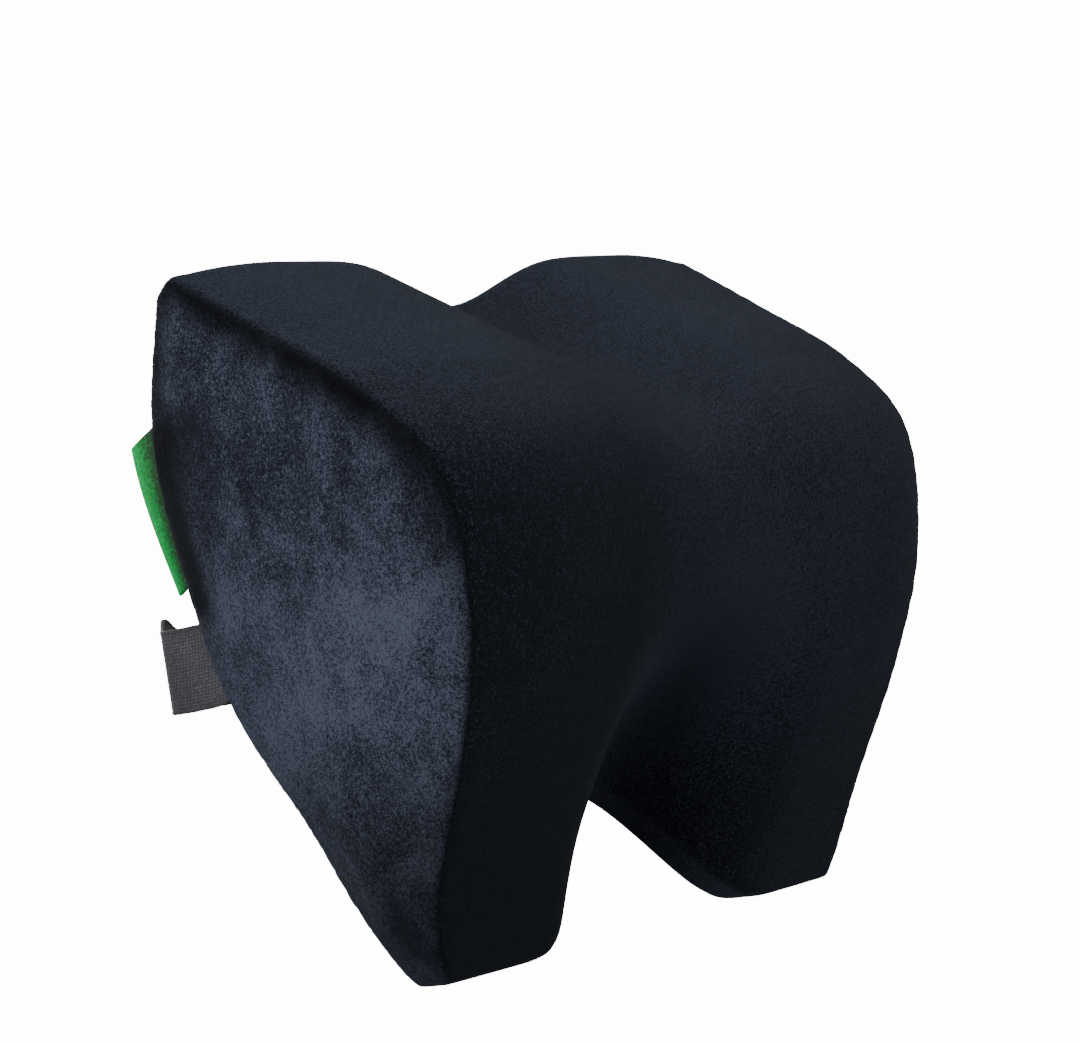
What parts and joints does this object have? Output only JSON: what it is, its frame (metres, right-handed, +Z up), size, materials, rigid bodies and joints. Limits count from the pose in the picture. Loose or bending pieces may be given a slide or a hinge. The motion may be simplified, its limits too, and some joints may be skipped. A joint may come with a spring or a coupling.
{
  "type": "lumbar support cushion",
  "caption": "Contoured foam lumbar cushion in a sewn velour cover with side panels, a hollow for the spine, an arched base, a back zipper, a ribbon tag and an elastic chair strap.",
  "frame": {"origin": "on the floor, under the middle of the whole part's box", "axes": "+Z up, -Y is the front that the sitter's back leans on, +X to the right seen from behind the sitter"},
  "size_m": [0.3352, 0.1866, 0.261],
  "materials": {
    "velour_wrap": "short-pile velour",
    "velour_side": "short-pile velour, brushed",
    "foam": "open-cell memory foam",
    "liner": "knitted liner",
    "zip_tape": "woven tape",
    "zip_coil": "nylon coil",
    "zip_metal": "satin lacquer",
    "tag_ribbon": "satin ribbon",
    "webbing": "ribbed elastic webbing",
    "acetal": "moulded acetal"
  },
  "bodies": {
    "cushion": {"foam_core": "foam", "inner_liner": "liner", "front_panel": "velour_wrap", "back_panel_upper": "velour_wrap", "back_panel_lower": "velour_wrap", "side_panel_left": "velour_side", "side_panel_right": "velour_side", "zipper_tape_upper": "zip_tape", "zipper_tape_lower": "zip_tape", "zipper_coil_upper": "zip_coil", "zipper_coil_lower": "zip_coil", "zipper_stop_left": "zip_metal", "zipper_stop_right": "zip_metal", "side_tag": "tag_ribbon", "strap_end_left": "webbing", "strap_end_right": "webbing"},
    "strap": {"strap_webbing": "webbing"},
    "adjuster": {"strap_slider": "acetal"},
    "zip_slider": {"zipper_slider": "zip_metal"},
    "zip_pull": {"zipper_pull": "zip_metal"}
  },
  "joints": [
    {"name": "strap_swing", "type": "hinge", "parent": "cushion", "child": "strap", "pos_m": [0, 0.05084, 0.121], "axis": [1, 0, 0], "range_deg": [-30, 30], "stiffness_Nm_per_rad": 0.1},
    {"name": "adjuster_slide", "type": "slide", "parent": "strap", "child": "adjuster", "axis": [1, 0, 0], "range_m": [-0.07, 0.07]},
    {"name": "zip_slide", "type": "slide", "parent": "cushion", "child": "zip_slider", "axis": [-1, 0, 0], "range_m": [0, 0.236]},
    {"name": "pull_flip", "type": "hinge", "parent": "zip_slider", "child": "zip_pull", "pos_m": [0.118, 0.02614, 0.07368], "axis": [0, -0.4732, -0.8809], "range_deg": [0, 165]}
  ]
}
